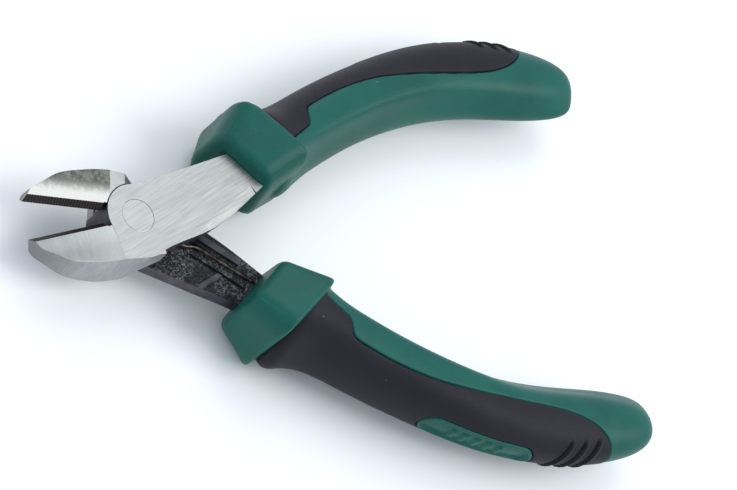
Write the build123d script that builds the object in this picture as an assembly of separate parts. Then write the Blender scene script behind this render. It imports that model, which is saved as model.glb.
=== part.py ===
from build123d import *
import math
import os

# Diagonal cutting pliers, 133 mm class, sprung open.
# +X runs from the pivot towards the grips, midway between them, and the jaws point to -X.
# +Z is the pivot axis. The origin is on that axis, at the head's ground underside.
# Each half is drawn closed, with the head's middle plane at z = 0. The lower half is the
# upper one turned over about X. Both are then opened and lifted to their places.

# --- driving dimensions, mm and degrees ---
HEAD_THICKNESS = 8.1
REST_HALF_ANGLE = 10.2        # each half stands this far from the middle when the spring is free
TIP_X = -20.2                 # jaw tip
PIVOT_DISC_R = 6.0            # round boss of each half at the lap joint
JAW_SEAT_R = 6.2              # hollow root of each jaw, which runs round the other half's boss
RIVET_R = 3.1
RIVET_RUNNING_GAP = 0.04      # radial, in the half that turns on the rivet
LAP_GAP = 0.04                # between the two lap faces
NECK_PLATE_THICKNESS = 2.5    # the neck is a thin plate next to the ground face
JAW_TOP_AT_TIP = 0.5          # height of the top facet above the middle plane at the tip
JAW_UNDER_AT_TIP = -2.4
FACET_START_X = -5.5          # where the head's flat face ends and the jaw facet starts
EDGE_BEVEL_WIDTH = 1.0
EDGE_BEVEL_DEPTH = 1.15
JAW_RELIEF_SLOPE = 0.7        # the inner wall leans back this far per mm under the cutting edge
EDGE_GAP = 0.04               # left between the edges when closed
JAW_ROOT_X = -2.6             # where the jaw's root ends on the underside
JAW_ROOT_TOP_X = 3.0
THROAT = [(-6.6, 1), (-6.6, -1.2), (0, 0), (0, 1)]
NECK_SHOULDER = [(-5.2, -7.6), (-5.9, -0.9), (-1.2, 5.3), (0.4, 5.0)]
NECK_CHAMFER = [(13.0, -3.5), (25.4, 2.9)]   # shallow strip ground along the neck's inner edge
NECK_CHAMFER_SLOPE = 0.16
CHANNEL_PLACE = (19.6, 2.2)   # middle of the groove for the spring's leg
CHANNEL_ANGLE = 21.3
CHANNEL_LENGTH, CHANNEL_WIDTH, CHANNEL_DEPTH = 15.0, 1.5, 0.7
FLUTE_PLACE = (18.6, 4.1)     # shallow groove beside the channel
FLUTE_LENGTH, FLUTE_WIDTH, FLUTE_DEPTH = 12.4, 0.8, 0.45
RIB_HEIGHT = 0.5
CROSS_RIB_PLACE, CROSS_RIB_ANGLE, CROSS_RIB_SIZE = (17.2, 6.2), -39, (6.0, 0.9)
RIM_RIB_PLACE, RIM_RIB_SIZE = (19.0, -0.3), (9.0, 1.3)
TANG_START = (25.0, 5.2)
TANG_HALF_WIDTH, TANG_TAPER, TANG_HALF_HEIGHT, TANG_END_X = 3.2, 1.0, 2.6, 95.0
COLLAR_STEP_DEPTH = 0.15      # the face stops this much lower inside the collar
WIRE_R = 0.36
COIL_R = 1.7
COIL_X = 9.3
COIL_PITCH = 0.82
COIL_TURNS = 1.5
LEG_KNEE = (14.2, 0.1, 1.35)  # of the spring's legs, in the closed half
LEG_END = (25.4, 4.45, 1.35)
SKIN_THICKNESS = 1.5          # soft outer layer of the grip
SKIN_GAP = 0.05
GRIP_RIB_HEIGHT = 0.8
GRIP_RIB_WIDTH = 1.2
BADGE_LENGTH, BADGE_WIDTH = 24.8, 6.6

HALF_T = HEAD_THICKNESS / 2
TALL = 40.0                   # taller than anything on the tool, for cutting prisms
FACET_SLOPE = (HALF_T - JAW_TOP_AT_TIP) / (FACET_START_X - TIP_X)

# Outer edge of the jaw and head, at the ground face and at its widest level below.
JAW_OUTER_TOP = [(-19.3, -1.6), (-17.4, -3.4), (-14.7, -5.5), (-11.0, -6.75), (-5.2, -7.6)]
JAW_OUTER_WIDE = [(-19.6, -1.8), (-17.6, -4.0), (-14.9, -6.2), (-11.0, -7.6), (-5.0, -8.2)]
NECK_OUTER = [(2.2, 5.75), (9.0, 7.0), (16.5, 8.3), (28.0, 10.6)]
NECK_INNER = [(-0.7, -7.9), (2.8, -7.0), (12.4, -4.7), (21.4, -1.1), (31.0, 4.2)]

# Grip sections from the ridge to the end: centre, reach outwards, reach inwards, half height.
GRIP_STATIONS = [
    (32.6, 9.0, 6.8, 6.4, 8.9),
    (38.0, 11.1, 6.6, 6.6, 7.7),
    (44.0, 13.4, 6.7, 6.6, 7.2),
    (50.0, 15.5, 6.8, 6.6, 7.0),
    (57.0, 17.5, 6.8, 6.6, 6.9),
    (66.0, 19.3, 7.1, 6.8, 6.6),
    (75.0, 20.2, 7.6, 7.1, 6.1),
    (84.0, 20.0, 8.0, 7.4, 5.5),
    (92.0, 18.9, 8.0, 7.6, 5.1),
    (99.0, 17.7, 7.4, 7.4, 4.6),
    (105.0, 16.8, 6.0, 6.3, 3.9),
    (108.8, 16.3, 4.1, 4.4, 2.9),
    (110.6, 16.1, 1.7, 1.9, 1.3),
]
OUTER_FULLNESS = 0.62         # 0.55 is an ellipse, towards 1 is a box
INNER_FULLNESS = 0.68
COLLAR_FRONT = (24.5, 7.4)
COLLAR_FRONT_ANGLE = 36.4
COLLAR_RIDGE = (33.0, 11.3)
COLLAR_RIDGE_ANGLE = 38.4
# reach inwards and outwards, top facet's half widths, half height of the sides and of the top
COLLAR_FRONT_SIZE = (7.2, 6.2, 4.8, 4.6, 3.2, 6.9)
COLLAR_RIDGE_SIZE = (8.0, 9.8, 4.9, 4.8, 4.8, 9.8)
COLLAR_RIM_R = 1.3
COLLAR_CORNER_R = 1.5
SKIN_EDGE = [(34.0, 9.0), (40.4, 11.9), (41.3, 15.0), (50.0, 18.4), (57.0, 20.1), (64.0, 20.9),
             (73.0, 20.9), (86.0, 20.3), (93.0, 21.3), (97.6, 24.2), (99.0, 27.6)]
GRIP_RIB_X = [89.3, 92.6, 95.8]
BADGE_X = 69.5


def direction(angle):
    return (math.cos(math.radians(angle)), math.sin(math.radians(angle)))


def prism(outline, low, high):
    """Upright prism on a closed plan outline of straight runs."""
    face = make_face(Polyline(*outline, close=True))
    return Pos(0, 0, low) * extrude(face, high - low)


def jaw_blank():
    """The jaw with leaning flanks, full thickness, from the tip to past the pivot."""
    levels = [(JAW_OUTER_WIDE, -HALF_T), (JAW_OUTER_TOP, HALF_T)]
    sections = []
    for outer, z in levels:
        tip = (TIP_X, 0)
        edge = Line(tip, outer[0]) + Spline(*outer, tangents=[(0.3, -1), (1, 0)])
        end_x = JAW_ROOT_TOP_X + 0.6
        back = Polyline(outer[-1], (end_x, outer[-1][1]), (end_x, 0), tip)
        sections.append(Pos(0, 0, z) * make_face(edge + back))
    return loft(sections, ruled=True)


def jaw(is_lower):
    """Jaw of one half, on the -Y side, with its root hollowed round the other boss.

    The two jaws mirror each other, so that the facets are on top of both, while all the
    rest of the lower half is the upper half turned over.
    """
    body = jaw_blank()
    over = Polyline((TIP_X - 5, JAW_TOP_AT_TIP - 5 * FACET_SLOPE), (FACET_START_X, HALF_T),
                    (FACET_START_X, TALL), (TIP_X - 5, TALL), close=True)
    body -= extrude(Plane.XZ * make_face(over), TALL, both=True)
    under = Polyline((TIP_X - 5, JAW_UNDER_AT_TIP + 0.4), (TIP_X, JAW_UNDER_AT_TIP), (-6, -HALF_T),
                     (-6, -TALL), (TIP_X - 5, -TALL), close=True)
    body -= extrude(Plane.XZ * make_face(under), TALL, both=True)
    body -= edge_cuts()
    if is_lower:
        body = mirror(body, about=Plane.XY)
    # the root's end leans back from the underside up to the neck plate
    root = Polyline((JAW_ROOT_X, -HALF_T - 1), (JAW_ROOT_X, -HALF_T),
                    (JAW_ROOT_TOP_X, HALF_T - NECK_PLATE_THICKNESS), (JAW_ROOT_TOP_X, TALL),
                    (10, TALL), (10, -HALF_T - 1), close=True)
    body -= extrude(Plane.XZ * make_face(root), TALL, both=True)
    # room for the other half's boss, below the lap face
    body -= Pos(0, 0, (LAP_GAP - TALL) / 2) * Cylinder(JAW_SEAT_R, TALL)
    return body - prism(THROAT, -TALL, TALL)


def edge_cuts():
    """Bevel above the cutting edge and relief below it, along the whole jaw."""
    cuts = []
    reach = 3.0
    stations = []
    for x in (TIP_X - reach, FACET_START_X, 0.0):
        top = JAW_TOP_AT_TIP + (x - TIP_X) * FACET_SLOPE
        edge = top - EDGE_BEVEL_DEPTH
        keen = -EDGE_GAP / 2
        bevel = Polyline((keen - EDGE_BEVEL_WIDTH * 4, edge + EDGE_BEVEL_DEPTH * 4), (keen, edge),
                         (TALL, edge), (TALL, edge + EDGE_BEVEL_DEPTH * 4), close=True)
        drop = HEAD_THICKNESS
        relief = Polyline((keen, edge), (keen - drop * JAW_RELIEF_SLOPE, edge - drop),
                          (TALL, edge - drop), (TALL, edge), close=True)
        plane = Plane(origin=(x, 0, 0), x_dir=(0, 1, 0), z_dir=(1, 0, 0))
        stations.append((plane * make_face(bevel), plane * make_face(relief)))
    for kind in (0, 1):
        faces = [station[kind] for station in stations]
        cuts.append(loft(faces, ruled=True))
    return cuts[0] + cuts[1]


def neck():
    """Boss and neck plate of the upper half, next to its ground face."""
    disc = Pos(0, 0, (HALF_T + LAP_GAP / 2) / 2) * Cylinder(PIVOT_DISC_R, HALF_T - LAP_GAP / 2)
    low = HALF_T - NECK_PLATE_THICKNESS
    outer = Polyline(*NECK_SHOULDER[2:], NECK_OUTER[0])
    outer += Spline(*NECK_OUTER)
    inner = Spline(*NECK_INNER, tangents=[(1, -0.05), (1, 0.55)])
    ends = Line(NECK_OUTER[-1], NECK_INNER[-1]) + Line(NECK_INNER[0], NECK_SHOULDER[0])
    ends += Polyline(*NECK_SHOULDER[:3])
    plate = Pos(0, 0, low) * extrude(make_face(outer + inner + ends), NECK_PLATE_THICKNESS)
    return disc + plate - neck_chamfer()


def neck_chamfer():
    """Wedge that leaves a shallow slanted strip along the inner edge of the ground face."""
    start, end = (Vector(*point) for point in NECK_CHAMFER)
    run = (end - start).normalized()
    plane = Plane(origin=(start.X, start.Y, HALF_T), x_dir=(run.Y, -run.X, 0),
                  z_dir=(run.X, run.Y, 0))
    reach = 3.0
    section = Polyline((0, 0), (reach, 0), (reach, reach * NECK_CHAMFER_SLOPE), close=True)
    return plane * extrude(make_face(section), (end - start).length)


def neck_grooves():
    """The spring leg's channel and the flute beside it, in the neck plate's inside face."""
    low = HALF_T - NECK_PLATE_THICKNESS
    turn = Rot(0, 0, CHANNEL_ANGLE)
    channel = turn * extrude(SlotOverall(CHANNEL_LENGTH, CHANNEL_WIDTH), 1 + CHANNEL_DEPTH)
    flute = turn * extrude(SlotOverall(FLUTE_LENGTH, FLUTE_WIDTH), 1 + FLUTE_DEPTH)
    return Pos(*CHANNEL_PLACE, low - 1) * channel + Pos(*FLUTE_PLACE, low - 1) * flute


def neck_ribs():
    """Low forged ribs on the neck plate's inside face."""
    low = HALF_T - NECK_PLATE_THICKNESS
    cross = Rot(0, 0, CROSS_RIB_ANGLE) * Box(*CROSS_RIB_SIZE, RIB_HEIGHT)
    rim = Rot(0, 0, CHANNEL_ANGLE) * Box(*RIM_RIB_SIZE, RIB_HEIGHT)
    middle = low - RIB_HEIGHT / 2
    return Pos(*CROSS_RIB_PLACE, middle) * cross + Pos(*RIM_RIB_PLACE, middle) * rim


def tang():
    """Square tail of the forging that runs down inside the grip."""
    centre = [TANG_START] + [(x, y) for x, y, *_ in GRIP_STATIONS if x < TANG_END_X]
    left, right = [], []
    for index, (x, y) in enumerate(centre):
        before = centre[max(index - 1, 0)]
        after = centre[min(index + 1, len(centre) - 1)]
        run = Vector(after[0] - before[0], after[1] - before[1]).normalized()
        half = TANG_HALF_WIDTH - TANG_TAPER * index / len(centre)
        left.append((x - run.Y * half, y + run.X * half))
        right.append((x + run.Y * half, y - run.X * half))
    outline = Spline(*left) + Line(left[-1], right[-1]) + Spline(*right[::-1])
    outline += Line(right[0], left[0])
    return extrude(make_face(outline), TANG_HALF_HEIGHT, both=True)


def forged_half(is_lower, rivet_gap):
    """One forging: jaw, boss, neck plate and tang, with its rivet hole."""
    body = jaw(is_lower) + neck() + neck_ribs() - neck_grooves()
    tail = tang() - collar_front_box(-2.0)
    body += tail
    # the ground face stops just before the collar
    normal = direction(COLLAR_FRONT_ANGLE)
    step = Plane(origin=(COLLAR_FRONT[0] - 0.1 * normal[0], COLLAR_FRONT[1] - 0.1 * normal[1],
                         HALF_T), x_dir=(*normal, 0), z_dir=(0, 0, 1))
    body -= step * Pos(10, 0, 0) * Box(20, 40, COLLAR_STEP_DEPTH * 2)
    body -= Cylinder(RIVET_R + rivet_gap, TALL)
    return body


def collar_front_box(advance):
    """Everything on the head's side of the collar's front face, moved back by advance."""
    normal = direction(COLLAR_FRONT_ANGLE)
    origin = (COLLAR_FRONT[0] - advance * normal[0], COLLAR_FRONT[1] - advance * normal[1], 0)
    plane = Plane(origin=origin, x_dir=(*normal, 0), z_dir=(0, 0, 1))
    return plane * Pos(-TALL / 2, 0, 0) * Box(TALL, TALL * 2, TALL)


def collar_section(share, inset):
    """Eight-sided section across the collar, share of the way from its front to its ridge."""
    size = [a + (b - a) * share for a, b in zip(COLLAR_FRONT_SIZE, COLLAR_RIDGE_SIZE)]
    inner, outer, flat_in, flat_out, side, top = size
    flank = inset * 0.45
    half = [(inset - inner, side - flank), (flank - flat_in, top - inset),
            (flat_out - flank, top - inset), (outer - inset, side - flank)]
    outline = half + [(u, -z) for u, z in half[::-1]]
    centre = [a + (b - a) * share for a, b in zip(COLLAR_FRONT, COLLAR_RIDGE)]
    normal = direction(COLLAR_FRONT_ANGLE + (COLLAR_RIDGE_ANGLE - COLLAR_FRONT_ANGLE) * share)
    plane = Plane(origin=(*centre, 0), x_dir=(-normal[1], normal[0], 0), z_dir=(*normal, 0))
    face = make_face(Polyline(*outline, close=True))
    return plane * fillet(face.vertices(), COLLAR_CORNER_R - 0.4 * inset)


def collar():
    """Thumb guard: it widens and rises from its front face to the ridge, with rounded rims."""
    length = math.dist(COLLAR_FRONT, COLLAR_RIDGE)
    rings = [(0.0, 1.0), (0.12, 0.52), (0.4, 0.2), (1.0, 0.0)]
    front = [(COLLAR_RIM_R * run / length, COLLAR_RIM_R * inset) for run, inset in rings]
    back = [(1 - share, inset) for share, inset in front[::-1]]
    return loft([collar_section(*ring) for ring in front + back], ruled=True)


def grip_section(outer, inner, height):
    """Closed section of four curved quarters, fuller on one side than on the other."""
    quarters = []
    for reach, full in ((outer, OUTER_FULLNESS), (-inner, INNER_FULLNESS)):
        for top in (height, -height):
            quarters.append(Bezier((0, top), (reach * full, top), (reach, top * full), (reach, 0)))
    return make_face(quarters[0] + quarters[1] + quarters[2] + quarters[3])


def grip_body(grow=0.0, last=None):
    """The grip's outer form as a smooth loft, each side grown by the given amount."""
    sections = []
    for index, (x, y, outer, inner, height) in enumerate(GRIP_STATIONS):
        before = GRIP_STATIONS[max(index - 1, 0)]
        after = GRIP_STATIONS[min(index + 1, len(GRIP_STATIONS) - 1)]
        run = Vector(after[0] - before[0], after[1] - before[1]).normalized()
        plane = Plane(origin=(x, y, 0), x_dir=(-run.Y, run.X, 0), z_dir=(run.X, run.Y, 0))
        sections.append(plane * grip_section(outer + grow, inner + grow, height + grow))
    return loft(sections[:last])


def skin_region(shrink):
    """Plan area that the soft skin covers, from the ridge to near the grip's end."""
    normal = direction(COLLAR_RIDGE_ANGLE)
    across = (-normal[1], normal[0])
    ridge = Vector(COLLAR_RIDGE[0] + (0.02 + shrink) * normal[0],
                   COLLAR_RIDGE[1] + (0.02 + shrink) * normal[1])
    far = (ridge.X + 24 * across[0], ridge.Y + 24 * across[1])
    near_length = (SKIN_EDGE[0][0] - ridge.X) * across[0] + (SKIN_EDGE[0][1] - ridge.Y) * across[1]
    near = (ridge.X + near_length * across[0], ridge.Y + near_length * across[1])
    outline = [near] + SKIN_EDGE[1:] + [(99.0 - shrink, 36.0), far]
    face = make_face(Polyline(*outline, close=True))
    if shrink:
        face = offset(face, -shrink, kind=Kind.INTERSECTION)
    return Pos(0, 0, -TALL / 2) * extrude(face, TALL)


def badge_prism(grow):
    """Oval plug through the outer side of the grip."""
    height = [y for x, y, *_ in GRIP_STATIONS if x == 66.0][0] + 0.4
    angle = 98.0
    normal = direction(angle)
    plane = Plane(origin=(BADGE_X, height, 0), x_dir=(normal[1], -normal[0], 0), z_dir=(*normal, 0))
    return plane * extrude(SlotOverall(BADGE_LENGTH + 2 * grow, BADGE_WIDTH + 2 * grow), TALL)


def grip_ribs():
    """Three raised ribs round the outer side, near the grip's end."""
    swollen = grip_body(GRIP_RIB_HEIGHT, last=-2)
    ribs = None
    for x in GRIP_RIB_X:
        slab = Pos(x, 26.0, 0) * Rot(0, 0, -9) * Box(GRIP_RIB_WIDTH, 9.0, 11.4)
        rib = swollen & slab
        ribs = rib if ribs is None else ribs + rib
    return ribs


def grip_core(forging):
    """Hard inner grip with its collar, the end and the oval badge."""
    full = grip_body() + collar()
    inner = grip_body(-SKIN_THICKNESS, last=-1)
    pocket = (grip_body(1.0, last=-1) & skin_region(0.0)) - inner - badge_prism(0.0)
    pocket -= collar()
    return full - pocket - forging


def grip_skin(forging):
    """Soft black layer over the outer side of the grip, with a window for the badge."""
    inner = grip_body(SKIN_GAP - SKIN_THICKNESS, last=-1)
    skin = (grip_body(last=-1) + grip_ribs()) & skin_region(SKIN_GAP)
    return skin - inner - badge_prism(0.1) - collar()


def spring():
    """Wire spring: a coil behind the rivet and a leg along each neck."""
    rise = COIL_PITCH * COIL_TURNS
    coil_path = Helix(COIL_PITCH, rise, COIL_R, lefthand=True)
    coil_path = Pos(COIL_X, 0, -rise / 2) * Rot(0, 0, -90) * coil_path
    wire = Circle(WIRE_R)
    coil = sweep(Plane(coil_path @ 0, z_dir=coil_path % 0) * wire, coil_path, is_frenet=True)
    body = coil
    for side in (-1, 1):
        start = Vector(COIL_X, side * COIL_R, side * rise / 2)
        knee, end = (Vector(x, side * y, side * z).rotate(Axis.Z, side * REST_HALF_ANGLE)
                     for x, y, z in (LEG_KNEE, LEG_END))
        path = Polyline(start, knee, end)
        leg = sweep(Plane(path @ 0, z_dir=path % 0) * wire, path, transition=Transition.ROUND)
        body += leg
    return body


def place(shape, is_lower):
    """Open a closed half to its rest angle and lift it onto the ground plane."""
    turned = Rot(180, 0, 0) * shape if is_lower else shape
    angle = -REST_HALF_ANGLE if is_lower else REST_HALF_ANGLE
    return Pos(0, 0, HALF_T) * Rot(0, 0, angle) * turned


def write(name, shape):
    shape.label = name
    export_step(shape, f"parts/{name}.step")


os.makedirs("parts", exist_ok=True)

for half_name, is_lower, gap in (("upper", False, RIVET_RUNNING_GAP), ("lower", True, 0.0)):
    forging = forged_half(is_lower, gap)
    write(f"{half_name}_forged_half", place(forging, is_lower))
    write(f"{half_name}_grip_core", place(grip_core(forging), is_lower))
    write(f"{half_name}_grip_skin", place(grip_skin(forging), is_lower))

write("pivot_rivet", Pos(0, 0, HALF_T) * Cylinder(RIVET_R, HEAD_THICKNESS))
write("return_spring", Pos(0, 0, HALF_T) * spring())
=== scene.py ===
import math

import bmesh
import bpy
import numpy as np
from bpy.props import FloatProperty, FloatVectorProperty, IntProperty, PointerProperty
from mathutils import Matrix, Vector


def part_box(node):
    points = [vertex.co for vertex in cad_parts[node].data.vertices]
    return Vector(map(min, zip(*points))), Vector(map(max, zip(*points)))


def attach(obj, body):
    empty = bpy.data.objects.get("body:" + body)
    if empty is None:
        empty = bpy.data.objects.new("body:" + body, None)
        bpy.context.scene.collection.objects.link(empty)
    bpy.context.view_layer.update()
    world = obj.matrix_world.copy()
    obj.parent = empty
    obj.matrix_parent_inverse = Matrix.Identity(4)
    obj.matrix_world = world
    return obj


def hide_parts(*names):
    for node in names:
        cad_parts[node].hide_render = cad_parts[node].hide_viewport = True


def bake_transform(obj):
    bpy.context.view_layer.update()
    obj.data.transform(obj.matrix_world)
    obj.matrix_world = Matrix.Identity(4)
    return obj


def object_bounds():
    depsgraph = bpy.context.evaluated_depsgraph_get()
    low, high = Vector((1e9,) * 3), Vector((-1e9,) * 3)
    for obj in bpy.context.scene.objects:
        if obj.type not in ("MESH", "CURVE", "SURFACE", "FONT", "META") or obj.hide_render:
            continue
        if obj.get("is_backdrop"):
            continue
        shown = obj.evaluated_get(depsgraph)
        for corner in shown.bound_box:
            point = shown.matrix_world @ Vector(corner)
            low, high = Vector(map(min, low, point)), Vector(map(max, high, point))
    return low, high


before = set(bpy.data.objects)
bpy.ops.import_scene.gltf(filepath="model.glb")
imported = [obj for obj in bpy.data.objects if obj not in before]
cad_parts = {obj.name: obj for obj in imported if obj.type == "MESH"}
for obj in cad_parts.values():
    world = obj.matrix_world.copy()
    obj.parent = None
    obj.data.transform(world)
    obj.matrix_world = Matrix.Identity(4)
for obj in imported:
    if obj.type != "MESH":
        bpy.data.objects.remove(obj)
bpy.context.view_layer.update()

bl_info = {
    "name": "Diagonal Cutting Pliers",
    "version": (1, 0, 0),
    "blender": (4, 5, 0),
    "location": "View3D > Sidebar > Pliers",
    "description": "Models sprung diagonal cutting pliers round their packed frame",
    "category": "Add Mesh",
}

# Grips are modelled once, in a closed half: +X runs from the pivot towards the grips, +Z is the pivot
# axis and z = 0 is the head's middle plane. The lower grip mirrors the upper one in the plane y = 0.
# Lengths in the tables below are in millimetres, and angles in degrees unless they say otherwise.
MM = 0.001
RIVET_LOW, RIVET_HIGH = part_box("pivot_rivet")
HALF_THICKNESS = RIVET_HIGH.z / 2
RIVET_RADIUS = (RIVET_HIGH.x - RIVET_LOW.x) / 2
REST_HALF_ANGLE = math.radians(10.2)
HALVES = ("upper", "lower")
MERGE_DISTANCE = 0.000002     # metres, for corners that lie on each other
BEVELLED_ANGLE = math.radians(28)   # a forging's outer edges sharper than this are broken
SMOOTH_ANGLE = math.radians(15)
RIVET_SMOOTH_ANGLE = math.radians(32)
BRUSH_ANGLE = math.radians(30)      # of the grinding marks on the upper half's face

# Grip sections from inside the collar to the end: centre x and y, reach outwards, reach inwards,
# half height, how far inwards of the centre the crease on the top runs, and by what factor the
# underside reaches further out.
GRIP_STATIONS = [
    (30.4, 8.2, 7.8, 6.6, 7.8, 2.6, 1.2),
    (32.9, 9.2, 9.9, 7.6, 9.2, 2.6, 1.26),
    (34.8, 9.9, 8.4, 7.2, 8.6, 2.6, 1.28),
    (37.4, 10.9, 7.0, 6.8, 7.9, 2.6, 1.26),
    (40.5, 12.1, 6.6, 6.6, 7.4, 2.6, 1.18),
    (44.0, 13.4, 6.7, 6.6, 7.2, 2.8, 1.1),
    (50.0, 15.5, 6.8, 6.6, 7.0, 3.0, 1.04),
    (57.0, 17.5, 6.8, 6.6, 6.9, 3.2, 1.0),
    (66.0, 19.3, 7.1, 6.8, 6.6, 3.2, 1.0),
    (75.0, 20.2, 7.6, 7.0, 6.1, 3.2, 1.0),
    (84.0, 20.0, 8.0, 7.2, 5.5, 3.2, 1.0),
    (92.0, 18.9, 8.0, 7.2, 5.1, 3.4, 1.0),
    (99.0, 17.7, 7.4, 7.1, 4.6, 3.0, 1.0),
    (105.0, 16.8, 6.0, 6.6, 3.9, 2.4, 1.0),
    (108.8, 16.3, 4.1, 5.6, 2.9, 1.6, 1.0),
    (110.4, 16.1, 1.9, 3.6, 1.4, 0.8, 1.0),
]
CREASE_CORNERS = (4, 8)       # places of the top and bottom crease in a section's ring
CREASED_STATIONS = 10         # the crease fades out behind this many stations
CAGE_SWELL = 1.035            # a subdivided cage draws in, so its corners stand out by this much
COLLAR_FRONT = (24.5, 7.4)
COLLAR_FRONT_ANGLE = 36.4
COLLAR_RIDGE = (33.0, 11.3)
COLLAR_RIDGE_ANGLE = 38.4
# reach inwards and outwards, top facet's half widths, half height of the sides and of the top
# and how far each corner bulges from its chamfer
COLLAR_FRONT_SIZE = (7.2, 6.2, 4.8, 4.6, 3.4, 6.9, 0.08)
COLLAR_RIDGE_SIZE = (8.0, 9.5, 5.3, 5.9, 6.0, 9.8, 0.42)
COLLAR_FOOT = 1.2             # how much further inwards the collar's underside reaches
SKIN_EDGE = [
    (33.6, 8.6), (39.9, 11.5), (40.7, 12.2), (41.1, 14.6), (41.6, 15.6), (45.0, 16.8), (50.0, 18.4),
    (57.0, 19.8), (64.0, 20.2), (73.0, 19.9), (86.0, 19.1), (92.6, 19.7), (97.4, 21.9), (99.8, 24.9),
    (100.4, 28.0),
]
BADGE_CENTRE = (71.1, 25.9)
BADGE_DROP = 0.6              # below the middle plane
BADGE_ANGLE = 8.0
BADGE_HALF_RUN = 8.8
BADGE_HALF_WIDTH = 3.1
BADGE_BARS = (-5.0, -2.5, 0.0, 2.5, 5.0)
BADGE_RIM_RISE, BADGE_RECESS_DEPTH, BADGE_BAR_RISE = 0.2, 0.6, 0.5
SKIN_DIP = 0.8                # the skin's edge dips this far into the core's pocket
RIB_PLACES = (87.0, 90.25, 93.5)
RIB_LEAN = 0.4                # each rib runs rearwards by this much per mm of height
RIB_BOW = 0.05                # and by this much per square mm of height, above and below
RIB_SLANT = 0.18              # and by this much per mm of y, from RIB_SIDE on
RIB_SIDE = 26.0
HEAD_FACET_START = -5.5
# Where the finishes of a forging meet, in the closed half
EDGE_END = -5.0               # behind this the cutting edge has no black bevel
EDGE_REACH = 1.35             # how far out from the middle the black bevel reaches
FLANK_END = 2.5               # the satin outer side ends here
FLANK_REACH = 1.5             # and lies at least this far out from the middle
JAW_FRONT = -9.0              # ahead of this the jaw's other sides are satin too
SCALE_START = 3.0             # behind this the inside faces have forging scale
RIBS_START = 8.0              # and behind this, those within RIB_LEVEL of the middle plane
RIB_LEVEL = 1.3               # are the tops of the neck's ribs, which are smooth
SPRING_LEG = [(25.4, 4.45, 1.35), (21.7, 3.0, 1.35), (17.8, 1.5, 1.35), (14.2, 0.1, 1.35),
              (11.8, 1.0, 0.95)]
COIL_TURNS = 1.5
BEYOND_GRIP = 26              # from the ridge's middle to past the grip's outer side
AHEAD_OF_RIDGE = 4            # the skin's outline is closed this far inside the collar
# name, azimuth, elevation, and share of the power
SOFTBOXES = (("right_softbox", -24.0, 50.0, 1.2), ("far_softbox", 78.0, 52.0, 0.5))


# --- sizes and colours that a user may change ---

class GripSettings(bpy.types.PropertyGroup):
    """Sizes and colours of the two-layer grips."""

    mesh_size: FloatProperty(
        name="Mesh size", description="Edge length of the finished grip surface",
        default=0.00026, min=0.0001, unit="LENGTH")
    edge_radius: FloatProperty(
        name="Collar radius", description="Rounding of the thumb guard's edges",
        default=0.0012, unit="LENGTH")
    skin_proud: FloatProperty(
        name="Skin height", description="How far the soft skin stands above the hard core",
        default=0.00012, unit="LENGTH")
    skin_sink: FloatProperty(
        name="Pocket depth", description="Depth of the core's pocket under the soft skin",
        default=0.0013, unit="LENGTH")
    skin_thickness: FloatProperty(
        name="Skin thickness", description="Thickness of the soft skin",
        default=0.001, unit="LENGTH")
    rib_height: FloatProperty(
        name="Rib height", description="Height of the ribs near the grip's end",
        default=0.0004, unit="LENGTH")
    groove_depth: FloatProperty(
        name="Groove depth", description="Depth of the narrow groove in front of each rib",
        default=0.0007, unit="LENGTH")
    core_colour: FloatVectorProperty(
        name="Core colour", description="Hard plastic of the core and the thumb guard",
        subtype="COLOR", size=3, default=(0.002, 0.088, 0.068), min=0.0, max=1.0)
    skin_colour: FloatVectorProperty(
        name="Skin colour", description="Soft outer layer",
        subtype="COLOR", size=3, default=(0.012, 0.012, 0.016), min=0.0, max=1.0)


class SteelSettings(bpy.types.PropertyGroup):
    """Sizes and colours of the forged halves and the rivet."""

    edge_bevel: FloatProperty(
        name="Edge bevel", description="Width of the forgings' broken outer edges",
        default=0.00013, unit="LENGTH")
    ground_colour: FloatVectorProperty(
        name="Ground colour", description="Bright ground faces",
        subtype="COLOR", size=3, default=(0.53, 0.535, 0.505), min=0.0, max=1.0)
    flank_colour: FloatVectorProperty(
        name="Flank colour", description="Satin outer side of the jaws",
        subtype="COLOR", size=3, default=(0.4, 0.41, 0.41), min=0.0, max=1.0)
    oxide_colour: FloatVectorProperty(
        name="Oxide colour", description="Black sides of the forgings",
        subtype="COLOR", size=3, default=(0.04, 0.037, 0.047), min=0.0, max=1.0)


class SpringSettings(bpy.types.PropertyGroup):
    """Sizes of the wire return spring."""

    wire_radius: FloatProperty(
        name="Wire radius", description="Half of the wire's diameter",
        default=0.00036, unit="LENGTH")
    coil_radius: FloatProperty(
        name="Coil radius", description="From the coil's middle to the wire's middle",
        default=0.0017, unit="LENGTH")
    coil_place: FloatProperty(
        name="Coil place", description="Distance of the coil from the pivot",
        default=0.0093, unit="LENGTH")
    coil_rise: FloatProperty(
        name="Coil rise", description="Height of the coil between its two legs",
        default=0.00123, unit="LENGTH")
    coil_points: IntProperty(
        name="Coil points", description="Points of the wire's path along the coil", default=36, min=12)


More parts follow.
